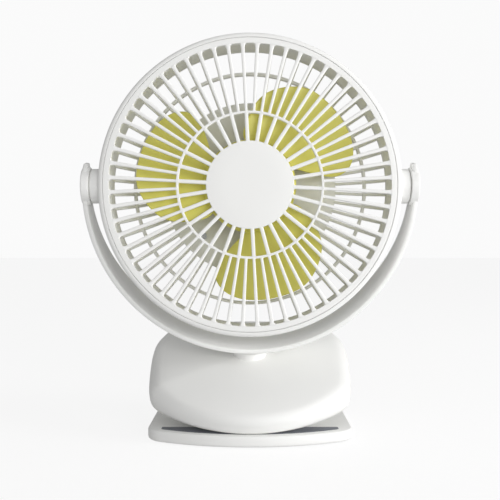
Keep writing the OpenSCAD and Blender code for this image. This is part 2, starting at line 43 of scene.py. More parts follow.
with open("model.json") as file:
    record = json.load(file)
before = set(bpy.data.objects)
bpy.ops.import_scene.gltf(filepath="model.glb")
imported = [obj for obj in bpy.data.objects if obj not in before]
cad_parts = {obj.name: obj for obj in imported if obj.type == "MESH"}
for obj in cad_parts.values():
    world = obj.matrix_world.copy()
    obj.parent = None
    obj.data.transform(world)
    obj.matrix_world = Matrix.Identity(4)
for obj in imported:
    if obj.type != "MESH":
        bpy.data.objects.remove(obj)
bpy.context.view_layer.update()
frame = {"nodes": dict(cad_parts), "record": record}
MM = 0.001

# Places taken from the frame
RIM_LOW, RIM_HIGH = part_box("outer_rim")
HEAD_Z = (RIM_LOW.z + RIM_HIGH.z) / 2
HEAD_R = (RIM_HIGH.z - RIM_LOW.z) / 2
FRONT_Y = RIM_LOW.y
BOSS_OUT = RIM_HIGH.x
PIVOT_Y = (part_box("pivot_pin_right")[0].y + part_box("pivot_pin_right")[1].y) / 2
PAD_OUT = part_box("yoke_band")[1].x
PLATE_LOW, PLATE_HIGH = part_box("lower_plate")

# Fits that a user would not change, in mm: the rim's seats for grille and guard, the recess
# for the yoke's caps, and the hinge lugs with their webs
GRILLE_STEP = 3
GUARD_STEP = 5
CAP_RECESS = 0.6
LUG_RADIUS, LUG_WIDTH = 5, 5
WEB_WIDTH, WEB_DEPTH = 4.8, 9.96

# Upper jaw: height of the joint of shell and floor, and half of its seam
SPLIT, SEAM = -3.6 * MM, 0.06 * MM


# ---- sizes and colours that a user would change
def length(name, description, default):
    """A size in metres from millimetres."""
    return bpy.props.FloatProperty(name=name, description=description, default=default * MM,
                                   min=0.0, precision=5, subtype="DISTANCE", unit="LENGTH")


def angle(name, description, default):
    return bpy.props.FloatProperty(name=name, description=description, default=radians(default),
                                   subtype="ANGLE", unit="ROTATION")


def hex_colour(name, description, default):
    return bpy.props.StringProperty(name=name, description=description, default=default)


class HeadSizes(bpy.types.PropertyGroup):
    """Sizes of the round head"""
    bore: length("Bore", "Radius of the rim's inner wall", 70)
    rebate: length("Rebate", "Radius of the step that the grille sits in", 72.5)
    depth: length("Depth", "Depth of the rim", 22.5)
    slot: length("Slot end", "Radius where the outer slots end", 69.6)
    middle: length("Middle ring", "Radius of the thin middle ring", 35.8)
    middle_width: length("Middle ring width", "Width of the thin middle ring", 1.2)
    cap: length("Disc", "Radius of the blank disc in the middle", 21.7)
    slat_tip: length("Slat at the rim", "Width of an outer slat at the rim", 1.85)
    slat_root: length("Slat at the ring", "Width of an outer slat at the middle ring", 1.35)
    grille: length("Grille", "Thickness of the front grille", 3)
    slats: bpy.props.IntProperty(name="Slats", description="Number of outer slats", default=60)
    guard_ring: length("Guard ring", "Radius of the rear guard's ring", 60)
    guard_disc: length("Motor disc", "Radius of the disc that carries the motor", 45)
    guard_depth: length("Motor disc depth", "Depth of that disc behind the front face", 28)
    cover: length("Rear cover", "Radius of the cover behind the motor", 39)
    boss: length("Boss", "Radius of the bosses for the tilt pins", 8.7)


class RotorSizes(bpy.types.PropertyGroup):
    """Sizes of the impeller"""
    hub: length("Hub", "Radius of the hub", 23.2)
    tip: length("Tip", "Radius of the blade tips", 58.2)
    front: length("Hub front", "Depth of the hub's front behind the front face", 5.2)
    back: length("Hub back", "Depth of the hub's back behind the front face", 22)
    blade: length("Blade", "Thickness of a blade", 1.6)
    blades: bpy.props.IntProperty(name="Blades", description="Number of blades", default=3)
    turn: angle("Blade turn", "Clock angle of the first blade's middle", 44)


class YokeSizes(bpy.types.PropertyGroup):
    """Sizes of the yoke and neck"""
    inside: length("Inside", "Inner radius of the band", 81.4)
    band: length("Band", "Thickness of the band", 2.4)
    low_width: length("Width at the neck", "Width of the band at the neck", 30)
    high_width: length("Width at the pivots", "Width of the band at the pivots", 12)
    pad: length("Pad", "Radius of the pad at each pivot", 9.5)
    tab: length("Tab", "How far the band's ends stand above the pivots", 11.8)
    pad_in: length("Pad inside", "Distance of the pad's inner face from the middle", 80)
    lean: angle("Lean", "Forward lean of the neck", 12)
    neck_y: length("Neck", "Distance of the neck in front of the middle", 3)
    neck_z: length("Neck height", "Height of the band's underside", 43.631)
    post: length("Post", "Length of the swivel post below the band", 17.3)
    collar: length("Collar", "Radius of the collar under the band", 8.8)


class ClipSizes(bpy.types.PropertyGroup):
    """Sizes of the two jaws"""
    slope: angle("Slope", "Slope of the upper jaw", 21.8)
    lip: length("Lip", "Half thickness of the upper jaw's front lip", 5.2)
    lip_y: length("Lip middle", "Distance of the lip's middle in front of the middle", 42.8)
    lip_z: length("Lip height", "Height of the lip's middle", 11.6)
    edge: length("Edge", "Half thickness of the other edges", 8)
    crown: length("Crown", "Half thickness in the middle", 10.6)
    run: length("Run", "Length of the jaw's middle plane along its slope", 87.885)
    half_width: length("Half width", "Half width of the upper jaw", 53.5)
    front_arc: length("Front arc", "Radius of the lower jaw's curved front edge", 95)
    jaw_arc: length("Upper arc", "Radius of the upper jaw's curved front edge", 65)
    inset: length("Inset", "How much narrower the lower jaw is on each side", 3)
    corner: length("Corner", "Radius of the lower jaw's front corners", 13)
    tail: length("Tail", "Radius of the lower jaw's rear corners", 20)
    hinge_y: length("Hinge", "Distance of the hinge behind the middle", 18)
    hinge_z: length("Hinge height", "Height of the hinge", 15.4)


class Finishes(bpy.types.PropertyGroup):
    """Colours of the finishes"""
    white: hex_colour("White", "ABS of the shells", "#F6F6F4")
    guard: hex_colour("Guard", "ABS of the rear guard", "#F3F3EF")
    lime: hex_colour("Lime", "Polypropylene of the impeller", "#EDE777")
    rubber: hex_colour("Rubber", "Silicone of the grip pads and feet", "#5E626A")
    nylon: hex_colour("Nylon", "Nylon of the washers", "#DCDCD8")
    steel: hex_colour("Steel", "Ground steel of pins and screws", "#B9BBC0")
    core: hex_colour("Core", "Laminated steel of the stator", "#8C8F94")
    copper: hex_colour("Copper", "Enamelled copper wire", "#B8703A")
    board: hex_colour("Board", "Solder mask of the boards", "#1E5B34")
    wrap: hex_colour("Wrap", "Shrink film round the battery", "#3C4C6B")
    magnet: hex_colour("Magnet", "Sintered ferrite", "#2B2B2E")
    lens: hex_colour("Lens", "Diffusing polycarbonate of the lights", "#E9EEF2")
    floor: hex_colour("Floor", "Pale floor", "#7C7C7C")


# ---- finishes
def linear(colour):
    """sRGB hex to the linear colour that a socket takes."""
    parts = [int(colour[i:i + 2], 16) / 255 for i in (1, 3, 5)]
    return [*(p / 12.92 if p <= 0.04045 else ((p + 0.055) / 1.055) ** 2.4 for p in parts), 1.0]


def add(tree, kind, settings=None, links=None):
    """One node: settings go to its sockets or to itself, links join sockets to other nodes."""
    node = tree.nodes.new(kind)
    for key, value in (settings or {}).items():
        if isinstance(key, int) or key in node.inputs:
            node.inputs[key].default_value = value
        else:
            setattr(node, key, value)
    for key, source in (links or {}).items():
        tree.links.new(source, node.inputs[key])
    return node


def start_material(name, colour, roughness, ior=1.5, metallic=0.0):
    """A material, its tree, its shader with the colour, and Object coordinates."""
    material = bpy.data.materials.new(name)
    material.use_nodes = True
    tree = material.node_tree
    tree.nodes.clear()
    shader = add(tree, "ShaderNodeBsdfPrincipled", {
        "Base Color": linear(colour), "Roughness": roughness, "Metallic": metallic, "IOR": ior})
    add(tree, "ShaderNodeOutputMaterial", links={"Surface": shader.outputs["BSDF"]})
    place = add(tree, "ShaderNodeTexCoord").outputs["Object"]
    return material, tree, shader, place


def moulded(name, colour, roughness, grain, depth, ior=1.53, spread=0.025, coat=0.0, inner=0.0):
    """Injection moulded plastic: an even body colour, a fine spark-eroded grain that breaks up
    the highlight, and a slow drift in gloss where the melt cooled unevenly."""
    material, tree, shader, place = start_material(name, colour, roughness, ior)
    base = linear(colour)
    drift = add(tree, "ShaderNodeTexNoise", {"Scale": 1 / (28 * MM)}, {"Vector": place})
    tint = add(tree, "ShaderNodeMix", {"data_type": "RGBA", 6: base, 7: [
        *(c * (1 - spread) for c in base[:3]), 1.0]}, {0: drift.outputs["Fac"]})
    tree.links.new(tint.outputs[2], shader.inputs["Base Color"])
    gloss = add(tree, "ShaderNodeMapRange",
                {"To Min": roughness - 0.05, "To Max": roughness + 0.06},
                {"Value": drift.outputs["Fac"]})
    tree.links.new(gloss.outputs["Result"], shader.inputs["Roughness"])
    fine = add(tree, "ShaderNodeTexNoise", {"Scale": 1 / (grain * MM), "Detail": 3.0,
                                            "Roughness": 0.6}, {"Vector": place})
    bump = add(tree, "ShaderNodeBump", {"Strength": 0.35, "Distance": depth * MM},
               {"Height": fine.outputs["Fac"]})
    tree.links.new(bump.outputs["Normal"], shader.inputs["Normal"])
    shader.inputs["Coat Weight"].default_value = coat
    shader.inputs["Coat Roughness"].default_value = 0.25
    if inner:
        shader.inputs["Subsurface Weight"].default_value = inner
        shader.inputs["Subsurface Radius"].default_value = (1.0, 0.9, 0.45)
        shader.inputs["Subsurface Scale"].default_value = 1.2 * MM
    return material


def silicone(name, colour):
    """Moulded silicone rubber: dark and dull, with a soft sheen and a fine pebbled skin."""
    material, tree, shader, place = start_material(name, colour, 0.68, 1.41)
    pebble = add(tree, "ShaderNodeTexVoronoi", {"Scale": 1 / (0.9 * MM)}, {"Vector": place})
    bump = add(tree, "ShaderNodeBump", {"Strength": 0.4, "Distance": 0.05 * MM},
               {"Height": pebble.outputs["Distance"]})
    tree.links.new(bump.outputs["Normal"], shader.inputs["Normal"])
    dust = add(tree, "ShaderNodeTexNoise", {"Scale": 1 / (6 * MM), "Detail": 4.0},
               {"Vector": place})
    base = linear(colour)
    tint = add(tree, "ShaderNodeMix", {"data_type": "RGBA", 6: base, 7: [
        *(min(c * 1.35 + 0.004, 1) for c in base[:3]), 1.0]}, {0: dust.outputs["Fac"]})
    tree.links.new(tint.outputs[2], shader.inputs["Base Color"])
    shader.inputs["Sheen Weight"].default_value = 0.15
    shader.inputs["Sheen Roughness"].default_value = 0.5
    return material


def ground_metal(name, colour, roughness, line, stretch):
    """Ground or drawn metal: a clean reflection broken by fine parallel tool lines."""
    material, tree, shader, place = start_material(name, colour, roughness, metallic=1.0)
    along = add(tree, "ShaderNodeMapping", {"Scale": stretch}, {"Vector": place})
    lines = add(tree, "ShaderNodeTexNoise", {"Scale": 1 / (line * MM)},
                {"Vector": along.outputs["Vector"]})
    bump = add(tree, "ShaderNodeBump", {"Strength": 0.25, "Distance": 0.01 * MM},
               {"Height": lines.outputs["Fac"]})
    tree.links.new(bump.outputs["Normal"], shader.inputs["Normal"])
    rough = add(tree, "ShaderNodeMapRange",
                {"To Min": roughness - 0.08, "To Max": roughness + 0.1},
                {"Value": lines.outputs["Fac"]})
    tree.links.new(rough.outputs["Result"], shader.inputs["Roughness"])
    return material


def build_finishes(colours):
    """Every finish of the fan, by its slot in the record."""
    return {
        # Satin ABS from a lightly eroded mould: bright, even, with broad soft highlights
        "white_shell": moulded("Moulded_ABS_white", colours.white, 0.55, 0.7, 0.012),
        "white_yoke": moulded("Moulded_ABS_yoke", colours.white, 0.55, 0.7, 0.010),
        # The same ABS with a coarser grain, on parts that face the room less
        "guard_white": moulded("Moulded_ABS_guard", colours.guard, 0.5, 0.9, 0.015),
        "button": moulded("Moulded_ABS_button", colours.guard, 0.34, 0.6, 0.008),
        # Polypropylene lets a little light into its skin, so thin edges glow warmer
        "lime_blade": moulded("Moulded_PP_lime", colours.lime, 0.4, 1.0, 0.010, ior=1.49,
                              spread=0.05, inner=0.12),
        "grip_rubber": silicone("Silicone_grip", colours.rubber),
        "nylon_washer": moulded("Nylon_washer", colours.nylon, 0.55, 0.5, 0.01),
        "steel": ground_metal("Ground_steel", colours.steel, 0.28, 0.5, (1, 6, 1)),
        "core_steel": ground_metal("Laminated_core_steel", colours.core, 0.4, 0.5, (1, 12, 1)),
        "copper_wire": ground_metal("Enamelled_copper_wire", colours.copper, 0.3, 0.4, (1, 8, 1)),
        "magnet": moulded("Sintered_ferrite", colours.magnet, 0.6, 0.4, 0.02),
        "board": moulded("Solder_mask_board", colours.board, 0.32, 0.5, 0.006, coat=0.3),
        "battery_wrap": moulded("Shrink_film", colours.wrap, 0.26, 4.0, 0.05, coat=0.4),
        "lens": moulded("Polycarbonate_lens", colours.lens, 0.22, 0.5, 0.004, ior=1.58,
                        inner=0.2),
    }


FINISHES = {}


# ---- mesh helpers
def turned(place, turn, axis):
    return Matrix.Translation(place) @ Matrix.Rotation(turn, 4, axis)


def head_frame():
    """Depth runs along local z from the front face, local -y is up."""
    return turned((0, FRONT_Y, HEAD_Z), -pi / 2, "X")


def pivot_frame(side):
    """Local z runs out along the tilt axis."""
    return turned((0, PIVOT_Y, HEAD_Z), side * pi / 2, "Y")


def yoke_frame(sizes):
    """Local z runs up the leaning neck from the band's underside."""
    return turned((0, -sizes.neck_y, sizes.neck_z), sizes.lean, "X")


def slab_frame(sizes):
    """Local y runs up the slope of the upper jaw from its lip."""
    return turned((0, -sizes.lip_y, sizes.lip_z), sizes.slope, "X")


def hinge_frame(sizes, side=1):
    """Local z runs out along the hinge pin."""
    return turned((0, sizes.hinge_y, sizes.hinge_z), side * pi / 2, "Y")


def new_object(name, bm, material):
    """Turns a mesh into an object of the scene, with its material."""
    mesh = bpy.data.meshes.new(name)
    bm.to_mesh(mesh)
    bm.free()
    made = bpy.data.objects.new(name, mesh)
    bpy.context.scene.collection.objects.link(made)
    mesh.materials.append(material)
    return made


def finish_piece(name, bm, body, slot, nodes, sharp=38):
    """Closes doubles, turns faces outwards, shades, and hands the piece to its body."""
    bmesh.ops.remove_doubles(bm, verts=bm.verts, dist=1e-6)
    bmesh.ops.recalc_face_normals(bm, faces=bm.faces)
    for face in bm.faces:
        face.smooth = True
    for edge in bm.edges:
        if len(edge.link_faces) == 2 and edge.calc_face_angle(0) > radians(sharp):
            edge.smooth = False
    piece = new_object(name, bm, FINISHES[slot])
    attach(piece, body)
    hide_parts(*nodes)


def verts_in(geometry):
    """The vertices among what an operator returns."""
    return [g for g in geometry if isinstance(g, bmesh.types.BMVert)]


def edges_in(geometry, verts):
    """The edges among them that run between the given vertices."""
    inside = set(verts)
    return [g for g in geometry if isinstance(g, bmesh.types.BMEdge)
            and all(v in inside for v in g.verts)]


def everything(bm):
    """All of a mesh, for operators that take geometry."""
    return list(bm.verts) + list(bm.edges) + list(bm.faces)


def corner_edges(bm):
    """Edges whose two faces turn by more than a radian."""
    return [e for e in bm.edges if len(e.link_faces) == 2 and e.calc_face_angle(0) > 1.0]


def round_off(bm, edges, offset, segments, clamp=False):
    """Rounds the edges."""
    bmesh.ops.bevel(bm, geom=edges, offset=offset, segments=segments, profile=0.5,
                    affect="EDGES", material=-1, clamp_overlap=clamp)


def rounded(corners, steps=5):
    """Profile points with each corner (x, y, radius) rounded."""
    points = []
    count = len(corners)
    for i, (x, y, radius) in enumerate(corners):
        here = Vector((x, y))
        if not radius:
            points.append(here)
            continue
        before = (Vector(corners[i - 1][:2]) - here).normalized()
        after = (Vector(corners[(i + 1) % count][:2]) - here).normalized()
        half = before.angle(after) / 2
        run = radius / max(abs(sin(half) / cos(half)), 1e-6)
        first, last = here + before * run, here + after * run
        for k in range(steps + 1):
            t = k / steps
            points.append(first * (1 - t) ** 2 + here * 2 * t * (1 - t) + last * t ** 2)
    return points


def lathe(bm, corners, place, steps=180, closed=True, arc=5):
    """Spins a profile of (radius, height, corner radius) in mm round local z."""
    points = rounded([(r * MM, h * MM, c * MM) for r, h, c in corners], arc)
    verts = [bm.verts.new((max(p.x, 0.0), 0, p.y)) for p in points]
    pairs = list(zip(verts, verts[1:])) + ([(verts[-1], verts[0])] if closed else [])
    edges = [bm.edges.new(pair) for pair in pairs]
    before = set(bm.verts) - set(verts)
    bmesh.ops.spin(bm, geom=verts + edges, cent=(0, 0, 0), axis=(0, 0, 1), angle=2 * pi,
                   steps=steps, use_merge=True)
    made = [v for v in bm.verts if v not in before]
    bmesh.ops.remove_doubles(bm, verts=made, dist=1e-7)
    made = [v for v in bm.verts if v not in before]
    bmesh.ops.transform(bm, matrix=place, verts=made)


def turned_copies(bm, geometry, count, step, start, place):
    """Turns the geometry round local z to its clock angle, copies it, and places it all."""
    groups = [verts_in(geometry)]
    for _ in range(1, count):
        groups.append(verts_in(bmesh.ops.duplicate(bm, geom=geometry)["geom"]))
    for i, group in enumerate(groups):
        turn = Matrix.Rotation(radians(start + i * step - 90), 4, "Z")
        bmesh.ops.transform(bm, matrix=place @ turn, verts=group)


def plate(bm, outline, low, high, top_edge, low_edge):
    """A flat plate from an outline in metres, with its top and bottom edges rounded."""
    bottom = [bm.verts.new((x, y, low)) for x, y in outline]
    grown = bmesh.ops.extrude_face_region(bm, geom=[bm.faces.new(bottom)])["geom"]
    top = verts_in(grown)
    bmesh.ops.translate(bm, verts=top, vec=(0, 0, high - low))
    for loop, offset in ((top, top_edge), (bottom, low_edge)):
        if offset:
            own = {v for v in loop if v.is_valid}
            round_off(bm, [e for e in bm.edges if all(v in own for v in e.verts)], offset, 3,
                      clamp=True)


def arc_points(cx, cy, radius, start, end, count):
    """Points on an arc, angles in radians."""
    return [(cx + radius * cos(start + (end - start) * i / count),
             cy + radius * sin(start + (end - start) * i / count)) for i in range(count + 1)]


def bar(bm, r0, r1, w0, w1, z0, z1, flare0, flare1, edge):
    """A flat bar along local x, its ends flared into fillets and its front edges rounded."""
    grid = bmesh.ops.create_grid(bm, x_segments=14, y_segments=1, size=1.0)["verts"]
    for v in grid:
        t = (v.co.x + 1) / 2
        t = t * t * (3 - 2 * t)
        x = r0 + (r1 - r0) * t
        half = (w0 + (w1 - w0) * t) / 2
        for gap, flare in ((x - r0, flare0), (r1 - x, flare1)):
            if gap < flare:
                half += flare - sqrt(flare ** 2 - (flare - gap) ** 2)
        v.co = Vector((x, half if v.co.y > 0 else -half, z0))
    faces = list({f for v in grid for f in v.link_faces})
    back = bmesh.ops.extrude_face_region(bm, geom=faces)["geom"]
    bmesh.ops.translate(bm, verts=verts_in(back), vec=(0, 0, z1 - z0))
    long_edges = [e for e in corner_edges(bm)
                  if all(abs(v.co.z - z0) < 1e-7 for v in e.verts)
                  and abs(e.verts[0].co.x - e.verts[1].co.x) > 1e-6]
    round_off(bm, long_edges, edge, 2)


def own_bars(bm, make, count, step, start, place):
    """Makes one bar in a mesh of its own, then adds its turned copies to bm."""
    single = bmesh.new()
    make(single)
    turned_copies(single, everything(single), count, step, start, place)
    merge(bm, single)


def merge(bm, other):
    """Adds another mesh to bm and frees it."""
    carrier = bpy.data.meshes.new("carrier")
    other.to_mesh(carrier)
    other.free()
    bm.from_mesh(carrier)
    bpy.data.meshes.remove(carrier)


def even_curve(corners, count):
    """Closed Catmull-Rom curve through the corners, as evenly spaced points."""
    out = []
    n = len(corners)
    for i in range(n):
        a, b, c, d = (corners[(i + k - 1) % n] for k in range(4))
        for k in range(8):
            t = k / 8
            out.append(0.5 * (2 * b + (c - a) * t + (2 * a - 5 * b + 4 * c - d) * t * t
                              + (3 * b - a - 3 * c + d) * t ** 3))
    run = [0.0]
    for p, q in zip(out, out[1:] + out[:1]):
        run.append(run[-1] + (q - p).length)
    even, j = [], 0
    for k in range(count):
        goal = run[-1] * k / count
        while run[j + 1] < goal:
            j += 1
        t = (goal - run[j]) / (run[j + 1] - run[j])
        even.append(out[j].lerp(out[(j + 1) % len(out)], t))
    return even


def clock_ring(bm, count):
    """A circle of vertices in clock order, to be moved into place, and its edges."""
    ring = bmesh.ops.create_circle(bm, cap_ends=False, segments=count, radius=1.0)["verts"]
    ring.sort(key=lambda v: atan2(v.co.y, v.co.x) % (2 * pi))
    return ring, [e for e in bm.edges if e.is_wire]


# ---- operators, one for each piece or group of like pieces
class FAN_OT_finishes(bpy.types.Operator):
    """Makes the fan's finishes and gives them to the CAD nodes that stay"""
    bl_idname = "fan.finishes"
    bl_label = "Finishes"

    def execute(self, context):
        FINISHES.update(build_finishes(context.scene.fan_finishes))
        slots = {row["node"]: row["material_slot"] for row in frame["record"]["subparts"]}
        for name, node in frame["nodes"].items():
            node.data.materials.clear()
            node.data.materials.append(FINISHES[slots[name]])
        return {"FINISHED"}


class FAN_OT_rim(bpy.types.Operator):
    """Builds the head's rim with its two side bosses"""
    bl_idname = "fan.rim"
    bl_label = "Rim"

    def execute(self, context):
        s = context.scene.fan_head
        r, bore, rebate, depth = HEAD_R / MM, s.bore / MM, s.rebate / MM, s.depth / MM
        seat = depth - GUARD_STEP
        bm = bmesh.new()
        lathe(bm, [(rebate, 0.35, 0.1), (rebate + 0.3, 0, 0.2), (r, 0, 2.4), (r, depth, 1.6),
                   (rebate, depth, 0.3), (rebate, seat, 0), (bore, seat, 0),
                   (bore, GRILLE_STEP, 0), (rebate, GRILLE_STEP, 0)], head_frame(), steps=240)
        boss, start, end = s.boss / MM, bore + 0.6, BOSS_OUT / MM
        for side in (-1, 1):
            lathe(bm, [(0, start, 0), (boss + 0.6, start, 0), (boss + 0.6, r - 0.2, 0),
                       (boss, r + 0.5, 0.4), (boss, end, 0.6), (0, end, 0)],
                  pivot_frame(side), steps=64, closed=False)
        finish_piece("head_rim", bm, "head", "white_shell", ["outer_rim"])
        return {"FINISHED"}


class FAN_OT_grille(bpy.types.Operator):
    """Builds the front grille: edge ring, slats, middle ring and inner spokes"""
    bl_idname = "fan.grille"
    bl_label = "Front grille"

    def execute(self, context):
        s = context.scene.fan_head
        place = head_frame()
        edge, slot, cap, back = s.rebate / MM - 0.12, s.slot / MM, s.cap / MM, s.grille / MM
        mid, half = s.middle / MM, s.middle_width / MM / 2
        bm = bmesh.new()
        lathe(bm, [(slot, 0.02, 0), (edge, 0.02, 0.35), (edge, back, 0), (slot, back, 0)], place,
              steps=240)
        lathe(bm, [(mid - half, 0.1, 0.25), (mid + half, 0.1, 0.25), (mid + half, back - 0.3, 0),
                   (mid - half, back - 0.3, 0)], place, steps=180, arc=3)
        lathe(bm, [(0, 1.25, 0), (cap - 0.5, 1.25, 0), (cap - 0.5, back, 0.3), (0, back, 0)],
              place, steps=120, closed=False, arc=3)
        # Slats and spokes run a little way into the rings
        sink, rounding = half * MM * 0.6, 0.32 * MM
        own_bars(bm, lambda b: bar(b, s.middle + sink, s.slot + 0.05 * MM, s.slat_root,
                                   s.slat_tip, 0.02 * MM, s.grille, 0.5 * MM, 1.3 * MM, rounding),
                 s.slats, 360 / s.slats, 180 / s.slats, place)
        own_bars(bm, lambda b: bar(b, s.cap - 0.2 * MM, s.middle - sink, s.slat_tip,
                                   s.slat_tip * 0.96, 0.05 * MM, s.grille, 0.4 * MM, 0.7 * MM,
                                   rounding),
                 s.slats // 2, 720 / s.slats, -180 / s.slats, place)
        finish_piece("grille_front", bm, "head", "white_shell", ["front_grille"], sharp=50)
        return {"FINISHED"}


class FAN_OT_disc(bpy.types.Operator):
    """Builds the blank disc in the middle of the grille"""
    bl_idname = "fan.disc"
    bl_label = "Middle disc"

    def execute(self, context):
        cap = context.scene.fan_head.cap / MM
        bm = bmesh.new()
        lathe(bm, [(0, 0, 0), (cap * 0.6, 0.02, 3), (cap, 0.12, 0.45), (cap, 1.2, 0),
                   (0, 1.2, 0)], head_frame(), steps=120, closed=False)
        finish_piece("disc_middle", bm, "head", "white_shell", ["hub_cap"])
        return {"FINISHED"}


class FAN_OT_guard(bpy.types.Operator):
    """Builds the rear guard: seat ring, bent bars, ring, motor disc and bearing tube"""
    bl_idname = "fan.guard"
    bl_label = "Rear guard"

    def execute(self, context):
        s = context.scene.fan_head
        place = head_frame()
        bm = bmesh.new()
        edge, bore = s.rebate / MM - 0.12, s.bore / MM
        ring, disc = s.guard_ring / MM, s.guard_disc / MM
        deep, back = s.guard_depth / MM, s.depth / MM
        seat = back - GUARD_STEP + 0.1
        lathe(bm, [(bore, seat, 0.3), (edge, seat, 0), (edge, back, 0.6), (bore, back, 0.6)],
              place, steps=180)
        half, rise = 0.8, 1.7
        lathe(bm, [(ring - half, deep - rise, 0.3), (ring + half, deep - rise, 0.3),
                   (ring + half, deep + rise, 0.4), (ring - half, deep + rise, 0.4)], place,
              steps=150, arc=3)
        disc_back = deep + 2.5
        lathe(bm, [(4.1, deep, 0), (disc, deep, 0.5), (disc, disc_back, 0.9),
                   (4.1, disc_back, 0.3)], place, steps=150)
        tube, wall, foot = 4.05, 5.3, deep + 0.05
        lathe(bm, [(tube, 11.5, 0.2), (wall, 11.5, 0.3), (wall, deep, 0.4), (6.2, foot, 0.1),
                   (tube, foot, 0)], place, steps=48, arc=3)

        def one_bar(single):
            outline = [(bore + 0.5, back - 4), (bore + 1, back), (ring, deep + 1.5),
                       (disc - 1, disc_back), (disc - 1, deep), (ring, deep - 1.5)]
            width = 1.5 * MM
            verts = [single.verts.new((x * MM, -width / 2, z * MM)) for x, z in outline]
            wide = bmesh.ops.extrude_face_region(single, geom=[single.faces.new(verts)])["geom"]
            bmesh.ops.translate(single, verts=verts_in(wide), vec=(0, width, 0))
            round_off(single, list(single.edges), 0.35 * MM, 2)

        own_bars(bm, one_bar, s.slats, 360 / s.slats, 180 / s.slats, place)
        finish_piece("guard_rear", bm, "head", "guard_white", ["rear_guard"])

        cover, top = s.cover / MM, deep + 10
        bm = bmesh.new()
        lathe(bm, [(0, top - 0.4, 0), (cover * 0.42, top - 0.1, 0.4),
                   (cover * 0.44, top - 0.8, 0.3), (cover * 0.47, top - 0.8, 0.3),
                   (cover * 0.49, top - 0.1, 0.4), (cover - 0.8, top, 2.6),
                   (cover, disc_back, 0.2), (cover - 1.8, disc_back, 0),
                   (cover - 2.6, top - 2, 1.5), (0, top - 2, 0)], place, steps=150, closed=False)
        finish_piece("cover_rear", bm, "head", "white_shell", ["rear_cover"])
        return {"FINISHED"}


class FAN_OT_impeller(bpy.types.Operator):
    """Builds the hub and its wide twisted blades"""
    bl_idname = "fan.impeller"
    bl_label = "Impeller"

    # Outline of a blade in parts of the tip radius: along its middle line, and across towards
    # its leading edge
    OUTLINE = [(0.26, -0.33), (0.40, -0.415), (0.543, -0.457), (0.665, -0.452), (0.77, -0.405),
               (0.864, -0.335), (0.945, -0.235), (0.985, -0.10), (0.988, 0.10), (0.962, 0.235),
               (0.918, 0.35), (0.842, 0.448), (0.76, 0.497), (0.68, 0.505), (0.58, 0.46),
               (0.48, 0.33), (0.39, 0.175), (0.31, 0.03), (0.25, -0.15)]
    CENTRE = (0.64, 0.03)
    POINTS, RINGS = 96, 12
    ROOT_PITCH, PITCH_DROP = 15.5, 3.5
    CAMBER = 1.1 * MM

    def execute(self, context):
        s = context.scene.fan_rotor
        place = head_frame()
        front, back, hub = s.front / MM, s.back / MM, s.hub / MM
        wall, face = hub - 1.6, front + 1.7
        bm = bmesh.new()
        lathe(bm, [(0, front, 0), (hub * 0.55, front + 0.05, 2), (hub, front + 0.6, 2.6),
                   (hub, back, 0.4), (wall, back, 0.3), (wall, face, 0.5), (0, face, 0)],
              place, steps=120, closed=False)
        middle = (s.front + s.back) / 2

        def one_blade(single):
            outline = even_curve([Vector(p) * s.tip for p in self.OUTLINE], self.POINTS)
            ring, edges = clock_ring(single, self.POINTS)
            tip = Vector((s.tip, 0))
            shift = min(range(self.POINTS), key=lambda i: (outline[i] - tip).length)
            for i, v in enumerate(ring):
                v.co = Vector((*outline[(i + shift) % self.POINTS], 0))
            centre = Vector((self.CENTRE[0] * s.tip, self.CENTRE[1] * s.tip, 0))
            for left in range(self.RINGS - 1, 0, -1):
                grown = bmesh.ops.extrude_edge_only(single, edges=edges)["geom"]
                verts = verts_in(grown)
                edges = edges_in(grown, verts)
                for v in verts:
                    v.co = centre + (v.co - centre) * (left / (left + 1))
            bmesh.ops.contextual_create(single, geom=edges)
            for v in single.verts:
                x, y = v.co.x, v.co.y
                share = min(max((x - s.hub) / (s.tip - s.hub), 0), 1)
                pitch = radians(self.ROOT_PITCH - self.PITCH_DROP * share)
                camber = self.CAMBER * (1 - (y / (0.5 * s.tip)) ** 2)
                v.co.z = middle + y * sin(pitch) / cos(pitch) - camber
            faces = list(single.faces)
            bmesh.ops.recalc_face_normals(single, faces=faces)
            bmesh.ops.solidify(single, geom=faces, thickness=s.blade)
            round_off(single, corner_edges(single), 0.55 * MM, 3)

        own_bars(bm, one_blade, s.blades, 360 / s.blades, s.turn * 180 / pi, place)
        finish_piece("impeller_lime", bm, "rotor", "lime_blade", ["impeller"])
        return {"FINISHED"}


